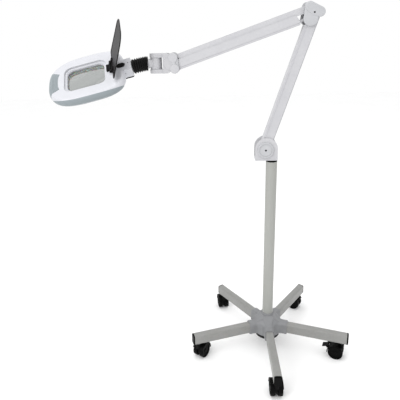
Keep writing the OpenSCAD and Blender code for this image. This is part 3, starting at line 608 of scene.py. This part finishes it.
def buildElbowCovers():
    c = elbowCover
    rightPin = offsetOf("lower_link_turn", "lower_arm_raise")
    topPin = offsetOf("upper_link_turn", "elbow_level")
    lobes = [(0, 0, c["big"]), (*topPin, c["small"]), (*rightPin, c["small"]), (*c["screwAt"], c["waist"])]
    parts, studs = [], []
    for side in (1, -1):
        parts.append(plate((8, 13), lobes, ((0, 1), (1, 2), (3, 2), (0, 3)), c["low"], c["high"], side))
        parts.append(plate((9, 20), lobes, ((1, 2), (3, 1), (3, 2)), c["high"] - 0.6, c["raised"], side, 1.3))
        studs.append(stud(*c["screwAt"], c["screw"], c["high"], c["raised"] + 0.15, side))
    space = axesAt(jointPoint("elbow_level"), Vector((1, 0, 0)), up)
    covers = makePiece("elbowCovers", *merged(parts), space, 40)
    return covers, makePiece("elbowScrews", *merged(studs), space)


def buildWristPlates():
    c = wristPlate
    x, y = offsetOf("upper_link_turn", "elbow_level")
    lobes = [(0, 0, c["lobe"]), (x, y, c["lobe"])]
    parts = []
    for side in (1, -1):
        parts.append(plate((x / 2, y / 2), lobes, ((0, 1),), c["low"], c["high"], side))
        parts.append(stud(x / 2, y / 2, c["ring"], c["high"] - 0.5, c["ringHigh"], side))
    space = axesAt(jointPoint("wrist_level"), Vector((1, 0, 0)), up)
    return makePiece("wristPlates", *merged(parts), space, 40)


elbowCovers, elbowScrews = buildElbowCovers()
dress(elbowCovers, finishes["cap_plastic"], "elbow", "cap_plastic", "elbow_covers")
dress(elbowScrews, blackOxide, "elbow", "steel")
dress(buildWristPlates(), finishes["cap_plastic"], "head_bracket", "cap_plastic")
print("elbow and wrist done")

# Bellows between the knuckle and the neck

bellows = {"ridge": 22, "valley": 18.4, "wall": 1.1, "ribs": 9, "knuckleEnd": 10, "neckEnd": 37}


def buildBellows():
    first = Vector((bellows["knuckleEnd"], 0, 0))
    along = (swungSpace.inverted().to_3x3() @ jointAxis("head_roll")).normalized()
    last = along * -bellows["neckEnd"]
    steps = bellows["ribs"] * 12
    outer, inner = [], []
    for i in range(steps + 1):
        t = i / steps
        centre = first * (1 - t) ** 2 + last * t ** 2
        forward = (last * t - first * (1 - t)).normalized()
        side = Vector((0, 1, 0))
        rise = side.cross(forward)
        wave = 0.5 - 0.5 * math.cos(math.tau * bellows["ribs"] * t)
        radius = bellows["valley"] + (bellows["ridge"] - bellows["valley"]) * wave ** 0.8
        for rings, r in ((outer, radius), (inner, radius - bellows["wall"])):
            rings.append([tuple(centre + r * (math.cos(a) * side + math.sin(a) * rise))
                          for a in (math.tau * s / 72 for s in range(72))])
    piece = makePiece("neckBellows", *loft(outer + inner[::-1], around=True), swungSpace, 60)
    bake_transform(piece)
    return piece


dress(buildBellows(), finishes["black_rubber"], None, "black_rubber", "bellows")
print("bellows done")

# Lamp head: an egg-shaped shell in two halves around the lens window

head = {  # millimetres in the head's own space: X back to the neck, Z out of the lens
    "heel": 60, "mid": 178, "tip": 296, "width": 202, "top": 16, "bottom": -20, "seam": 0.25,
    "heelPower": 3.6, "tipPower": 2.7, "wall": 2.2, "crown": 12,
    "windowX": -180, "windowLength": 118, "windowWidth": 100, "windowCorner": 18,
    "seat": 9, "seatRim": 6, "lensRim": 4, "lensHalf": 5, "lensZ": -1, "lensBulge": 620,
}
around = 192


def eggPoint(i, grow):
    turn = math.tau * (i + 0.5) / around
    c, s = math.cos(turn), math.sin(turn)
    toTip = c < 0
    half = (head["tip"] - head["mid"] if toTip else head["mid"] - head["heel"]) + grow
    power = 2 / (head["tipPower"] if toTip else head["heelPower"])
    return (-head["mid"] + half * math.copysign(abs(c) ** power, c),
            (head["width"] / 2 + grow) * math.copysign(abs(s) ** power, s))


def windowPoint(i, grow):
    # where the ray to the egg's own point crosses the window's rounded outline
    x, y = eggPoint(i, 0)
    ray = Vector((x - head["windowX"], y)).normalized()
    corner = head["windowCorner"] + grow
    box = Vector((head["windowLength"] / 2 + grow - corner, head["windowWidth"] / 2 + grow - corner))
    near, far = 0.0, 200.0
    for _ in range(26):
        middle = (near + far) / 2
        over = Vector((abs(ray.x) * middle - box.x, abs(ray.y) * middle - box.y))
        outside = Vector((max(over.x, 0), max(over.y, 0))).length + min(max(over.x, over.y), 0) - corner
        near, far = (middle, far) if outside < 0 else (near, middle)
    return (head["windowX"] + ray.x * near, ray.y * near)


def headRing(shape, grow, z):
    point = eggPoint if shape == "egg" else windowPoint
    return [(*point(i, grow), z) for i in range(around)]


lowerWall = curveThrough([(0, -head["seam"]), (-0.6, -3), (-2.4, -7.5), (-11, -15), (-19, -18.6),
                          (-27, head["bottom"])])
upperWall = [(-head["crown"] * (1 - math.cos(a)), head["seam"] + (head["top"] - head["seam"]) * math.sin(a))
             for a in (math.pi / 2 * s / 14 for s in range(15))]


def buildTopShell():
    rings = [headRing("egg", inset, z) for inset, z in upperWall]
    rings.append(headRing("egg", -20, head["top"]))
    rim, seat, top = head["seatRim"], head["seat"], head["top"]
    windowSteps = [(rim + 3, top), (rim + 1.4, top - 0.15), (rim + 0.5, top - 0.6), (rim + 0.1, top - 1.4),
                   (rim, top - 2.4), (rim, seat + 1), (rim - 0.2, seat + 0.4), (rim - 0.8, seat),
                   (1.4, seat), (0.4, seat - 0.3), (0, seat - 1), (0, seat - 2), (rim + 3, seat - 2),
                   (rim + 3, top - 4), (rim + 6, top - head["wall"])]
    rings += [headRing("window", grow, z) for grow, z in windowSteps]
    rings += [headRing("egg", inset, z) for inset, z in ((-16, top - 2.2), (-6, 9), (-2.2, head["seam"]))]
    return makePiece("headTopShell", *loft(rings, around=True), headSpace, 50)


def buildBottomShell():
    rings = [headRing("egg", inset, z) for inset, z in lowerWall]
    bottom = head["bottom"]
    rings += [headRing("window", grow, z) for grow, z in
              ((16, bottom), (14.6, bottom + 0.2), (14, bottom + 1), (14, bottom + 1.8), (15, bottom + 2.2))]
    rings += [headRing("egg", inset, z) for inset, z in
              ((-28, bottom + 2.2), (-14, -13.5), (-4.6, -6), (-2.2, -head["seam"]))]
    return makePiece("headBottomShell", *loft(rings, around=True), headSpace, 50)


def wallPoint(u):
    # the head's outer wall: u runs from -1 under the head, over 0 at the seam, to 1 on the crown,
    # and on to 3 across the flat face
    if u > 1:
        return Vector((-head["crown"] - 11 * (u - 1), head["top"])), Vector((0, 1))
    line = upperWall if u >= 0 else lowerWall
    place = min(abs(u), 0.9999) * (len(line) - 1)
    first = int(place)
    a, b = Vector(line[first]), Vector(line[first + 1])
    spot = a.lerp(b, place - first)
    along = (b - a).normalized() * (1 if u >= 0 else -1)
    return spot, Vector((along.y, -along.x))


def skinPatch(name, angles, lowEdge, highEdge, proud, columns=10, ridges=None):
    # a panel laid on the wall between two edges, from 0.9 mm inside it to proud of it
    rings = []
    for i, turn in enumerate(angles):
        low, high = lowEdge[i], highEdge[i]
        row = []
        for c in range(columns + 1):
            u = low + (high - low) * c / columns
            spot, out = wallPoint(u)
            lift = proud if 0 < c < columns else proud * 0.3
            if ridges and 0 < c < columns:
                lift += ridges(u)
            row.append((turn, spot + out * lift))
        for c in (columns, 0):
            spot, out = wallPoint(low if c == 0 else high)
            row.append((turn, spot - out * 0.9))
        rings.append([(*eggPoint(turn, flat.x), flat.y) for turn, flat in row])
    return makePiece(name, *loft(rings), headSpace, 30)


def buildSidePanel(side):
    steps = 64
    turns, lows, highs = [], [], []
    for s in range(steps + 1):
        t = s / steps
        degrees = 33 + 121 * t
        turns.append((degrees if side > 0 else 360 - degrees) / 360 * around - 0.5)
        swell = math.sin(math.pi * (0.02 + 0.96 * t)) ** 0.55
        lows.append(-0.35 - 0.55 * swell)
        highs.append(-0.3 + 1.0 * swell)
    name = "sidePanelFar" if side > 0 else "sidePanelNear"
    return skinPatch(name, turns, lows, highs, 0.35)


def buildTipPanel():
    steps = 40
    turns = [(157 + 46 * s / steps) / 360 * around - 0.5 for s in range(steps + 1)]
    lows = [-0.3] * (steps + 1)
    highs = [2.75] * (steps + 1)
    return skinPatch("tipPanel", turns, lows, highs, 0.25, 120,
                     lambda u: 0.5 if (u * 100) % 40 > 13 and u > 0.15 else 0)


topShell = dress(buildTopShell(), finishes["shell_white"], "head", "shell_white", "upper_shell")
dress(buildBottomShell(), finishes["shell_white"], "head", "shell_white", "lower_shell")
for side in (1, -1):
    dress(buildSidePanel(side), finishes["panel_grey"], "head", "panel_grey", "side_panels")
dress(buildTipPanel(), finishes["panel_grey"], "head", "panel_grey", "tip_grille")
print("head shells done")

# Neck box, its switch, and a black tray under the box that is painted shadow beneath its lip

neckBox = {"from": 38.5, "to": 94, "width": 54, "half": 15, "high": 16.6, "corner": 5,
           "switchX": -70, "switchLength": 27, "switchWidth": 23, "switchDepth": 6.2,
           "shadowTrayThickness": 2.2, "dotX": -47.5, "dotY": 3, "dotRadius": 1.7}


def oval(length, width, steps=64, power=2.4):
    line = []
    for i in range(steps):
        c, s = math.cos(math.tau * i / steps), math.sin(math.tau * i / steps)
        line.append((length / 2 * math.copysign(abs(c) ** (2 / power), c),
                     width / 2 * math.copysign(abs(s) ** (2 / power), s)))
    return line


def buildNeckBox():
    w, h, r = neckBox["width"] / 2, neckBox["half"], neckBox["corner"]
    section = rounded([(-w, -h, r), (w, -h, r), (w, neckBox["high"], 2.5), (-w, neckBox["high"], 2.5)], 6)
    rings = []
    for x, shrink in ((-neckBox["to"], 0), (-neckBox["from"] - 1.5, 0), (-neckBox["from"] - 0.4, 0.4),
                      (-neckBox["from"], 1.5)):
        rings.append([(x, y * (1 - shrink / w), z * (1 - shrink / h)) for y, z in section])
    box = makePiece("neckHousing", *loft(rings), headSpace, 40)
    outline = [(x + neckBox["switchX"], y) for x, y in oval(neckBox["switchLength"], neckBox["switchWidth"])]
    for piece in (box, topShell):
        cutter = makePiece("switchCutter", *prism(outline, h - neckBox["switchDepth"], h + 5), headSpace)
        cutAway(piece, cutter)
    box.data.shade_smooth()
    box.data.set_sharp_from_angle(angle=math.radians(35))
    return box


def buildSwitch():
    # a rocker: its top falls towards the middle, and its sides draw in a little
    rings = []
    length, width = neckBox["switchLength"] - 1, neckBox["switchWidth"] - 0.8
    for shrink, z in ((0.4, -3.0), (0, -2.6), (0, 0.6), (0.5, 1.4), (1.3, 1.9)):
        rings.append([(x, y, z) for x, y in oval(length - 2 * shrink, width - 2 * shrink)])
    for share in (0.93, 0.8, 0.62, 0.44, 0.26, 0.1):
        rings.append([(x * share, y * share, 1.2 + 0.95 * abs(x * share) / (length / 2))
                      for x, y in oval(length - 2.6, width - 2.6)])
    place = headSpace @ Matrix.Translation(Vector((neckBox["switchX"], 0, neckBox["high"] - 1)) * mm)
    return makePiece("rockerSwitch", *loft(rings), place, 40)


def buildShadowTray():
    # a black plate under the neck box: painted shadow, put where the shade under the box's lip falls
    w = neckBox["width"] / 2 - 0.6
    near, far, top = -neckBox["from"] - 0.4, -neckBox["to"], 0.6 - neckBox["half"]
    outline = rounded([(far, -w, 1), (near, -w, 5), (near, w, 5), (far, w, 1)], 5)
    shadowTray = makePiece("neckShadowTray", *prism(outline, -neckBox["half"] - neckBox["shadowTrayThickness"], top), headSpace)
    return roundEdges(shadowTray, 0.7)


def buildDot():
    r = neckBox["dotRadius"]
    profile = rounded([(0.05, -1.5, 0), (r, -1.5, 0.1), (r, 0.2, 0.3), (0.05, 0.45, 0)], 3)
    place = headSpace @ Matrix.Translation(Vector((neckBox["dotX"], neckBox["dotY"], neckBox["high"])) * mm)
    return makePiece("pilotLight", *lathe(profile, 32), place)


dress(buildNeckBox(), finishes["shell_white"], "head", "shell_white")
dress(buildShadowTray(), finishes["black_plastic"], "head", "black_plastic")
dress(buildDot(), finishes["black_plastic"], "head", "black_plastic")
dress(buildSwitch(), finishes["black_plastic"], "switch", "black_plastic", "rocker_switch")
print("neck and switch done")

# Lens


def buildLens():
    rim = [(x, y) for x, y in (windowPoint(i, head["lensRim"]) for i in range(around))]

    def height(x, y):
        return head["lensHalf"] - ((x - head["windowX"]) ** 2 + y * y) / (2 * head["lensBulge"])

    rings = []
    for side, shares in ((1, [s / 20 for s in range(1, 21)]), (-1, [s / 20 for s in range(20, 0, -1)])):
        for share in shares:
            ring = []
            for x, y in rim:
                px, py = head["windowX"] + (x - head["windowX"]) * share, y * share
                ring.append((px, py, head["lensZ"] + side * height(px, py)))
            rings.append(ring)
    return makePiece("magnifyingLens", *loft(rings), headSpace, 40)


dress(buildLens(), finishes["lens_glass"], "head", "lens_glass", "lens")

# Smoked cover that flips over the lens

cover = {"length": 138, "width": 136, "root": 6, "taper": 14, "cornerFar": 30, "cornerNear": 7,
         "lift": 5, "thickness": 3, "barrel": 3.6, "barrelAt": 20.5, "barrelLength": 10.6, "lip": 1.1}


def buildCover():
    half = cover["width"] / 2
    corners = [(-cover["root"], half, cover["cornerNear"]),
               (-cover["length"], half - cover["taper"], cover["cornerFar"]),
               (-cover["length"], -half + cover["taper"], cover["cornerFar"]),
               (-cover["root"], -half, cover["cornerNear"])]
    outline = rounded(corners, 14)
    middle = Vector((-(cover["length"] + cover["root"]) / 2, 0))

    def scaled(inset, z):
        ring = []
        for x, y in outline:
            away = Vector((x, y)) - middle
            spot = middle + away * (1 - inset / away.length)
            ring.append((spot.x, spot.y, z))
        return ring

    low = cover["lift"] - cover["thickness"] / 2
    high = cover["lift"] + cover["thickness"] / 2
    lip = cover["lip"]
    rings = [scaled(6, low + lip), scaled(3.6, low + lip), scaled(3.2, low + 0.3), scaled(2.6, low),
             scaled(0.8, low), scaled(0.2, low + 0.3), scaled(0, low + 0.9), scaled(0, high - 0.9),
             scaled(0.25, high - 0.3), scaled(0.9, high)]
    plate = makePiece("coverPlate", *loft(rings), coverSpace, 35)
    parts = []
    r, halfLong = cover["barrel"], cover["barrelLength"] / 2
    for side in (-1, 1):
        middleY = side * cover["barrelAt"]
        profile = rounded([(1.6, -halfLong, 0.1), (r, -halfLong, 0.5), (r, halfLong, 0.5),
                           (1.6, halfLong, 0.1)], 3)
        barrelVerts, barrelFaces = lathe(profile, 48)
        parts.append(([(x, z + middleY, -y) for x, y, z in barrelVerts], barrelFaces))
        strap = rounded([(-cover["root"] - 8, 0.6, 0), (2.2, 0.6, 0), (2.2, 2.6, 1.4), (-1, high, 0),
                         (-cover["root"] - 8, high - 0.2, 0)], 4)
        strapVerts, strapFaces = prism(strap, middleY - halfLong, middleY + halfLong)
        parts.append(([(x, y, z) for x, z, y in strapVerts], strapFaces))
    hinge = makePiece("coverHinges", *merged(parts), coverSpace, 35)
    return plate, hinge


coverPlate, coverHinges = buildCover()
dress(coverPlate, finishes["smoke_plastic"], "cover", "smoke_plastic", "lens_cover")
dress(coverHinges, finishes["smoke_plastic"], "cover", "smoke_plastic")
print("lens and cover done")

# Studio: pale floor, soft light, camera

studio = {
    "floorSize": 14, "worldLight": "#FFFFFF", "worldStrength": 1.0,
    "lights": (  # name, place and aim in metres, size in metres, watts
        ("topLight", (-0.4, -0.4, 3.0), (0, 0, 0.6), (2.4, 2.4), 20),
        ("keyLight", (-2.2, -2.2, 2.2), (-0.1, 0, 0.8), (1.6, 1.6), 36),
        ("fillLight", (2.4, -1.6, 1.4), (0, 0, 0.7), (1.4, 1.8), 3)),
}
view = {  # the camera: place in metres, the ways to its right and ahead, lens in millimetres
    "place": (-0.1821, -1.3295, 1.0761),
    "right": (0.9993, 0.0294, -0.0248), "ahead": (-0.0356, 0.952, -0.304),
    "sensor": 36, "lens": 38.71, "shift": (0.0014, -0.0638), "farthest": 60,
}


def softBox(name, place, aim, size, power):
    lamp = bpy.data.lights.new(name, "AREA")
    lamp.shape = "RECTANGLE"
    lamp.size, lamp.size_y = size
    lamp.energy = power
    holder = bpy.data.objects.new(name, lamp)
    holder.location = place
    holder.rotation_euler = (Vector(aim) - Vector(place)).to_track_quat("-Z", "Y").to_euler()
    scene.collection.objects.link(holder)


def buildStudio():
    matt = {"Roughness": 0.85, "Specular IOR Level": 0.2}
    material, tree, surface, place = startMaterial("palePaperFloor", matt)
    paper = blendColours(tree, noise(tree, place, 400, 2), "#FEFEFE", "#FCFCFC")
    feed(tree, surface, "Base Color", paper)
    reach = studio["floorSize"] / 2 / mm
    corners = [(-reach, -reach, 0), (reach, -reach, 0), (reach, reach, 0), (-reach, reach, 0)]
    floor = makePiece("floor", corners, [(0, 1, 2, 3)])
    floor.data.materials.append(material)
    world = bpy.data.worlds.new("studioWorld")
    world.use_nodes = True
    background = world.node_tree.nodes["Background"]
    background.inputs["Color"].default_value = linear(studio["worldLight"])
    background.inputs["Strength"].default_value = studio["worldStrength"]
    scene.world = world
    for light in studio["lights"]:
        softBox(*light)
    scene.view_settings.view_transform = "Standard"


def buildCamera():
    lens = bpy.data.cameras.new("studioCamera")
    lens.sensor_width = view["sensor"]
    lens.lens = view["lens"]
    lens.shift_x, lens.shift_y = view["shift"]
    lens.clip_end = view["farthest"]
    camera = bpy.data.objects.new("studioCamera", lens)
    right = Vector(view["right"]).normalized()
    back = -Vector(view["ahead"]).normalized()
    turned = Matrix((right, back.cross(right).normalized(), back)).transposed().to_4x4()
    camera.matrix_world = Matrix.Translation(view["place"]) @ turned
    scene.collection.objects.link(camera)
    scene.camera = camera


buildStudio()
buildCamera()
print("studio done")
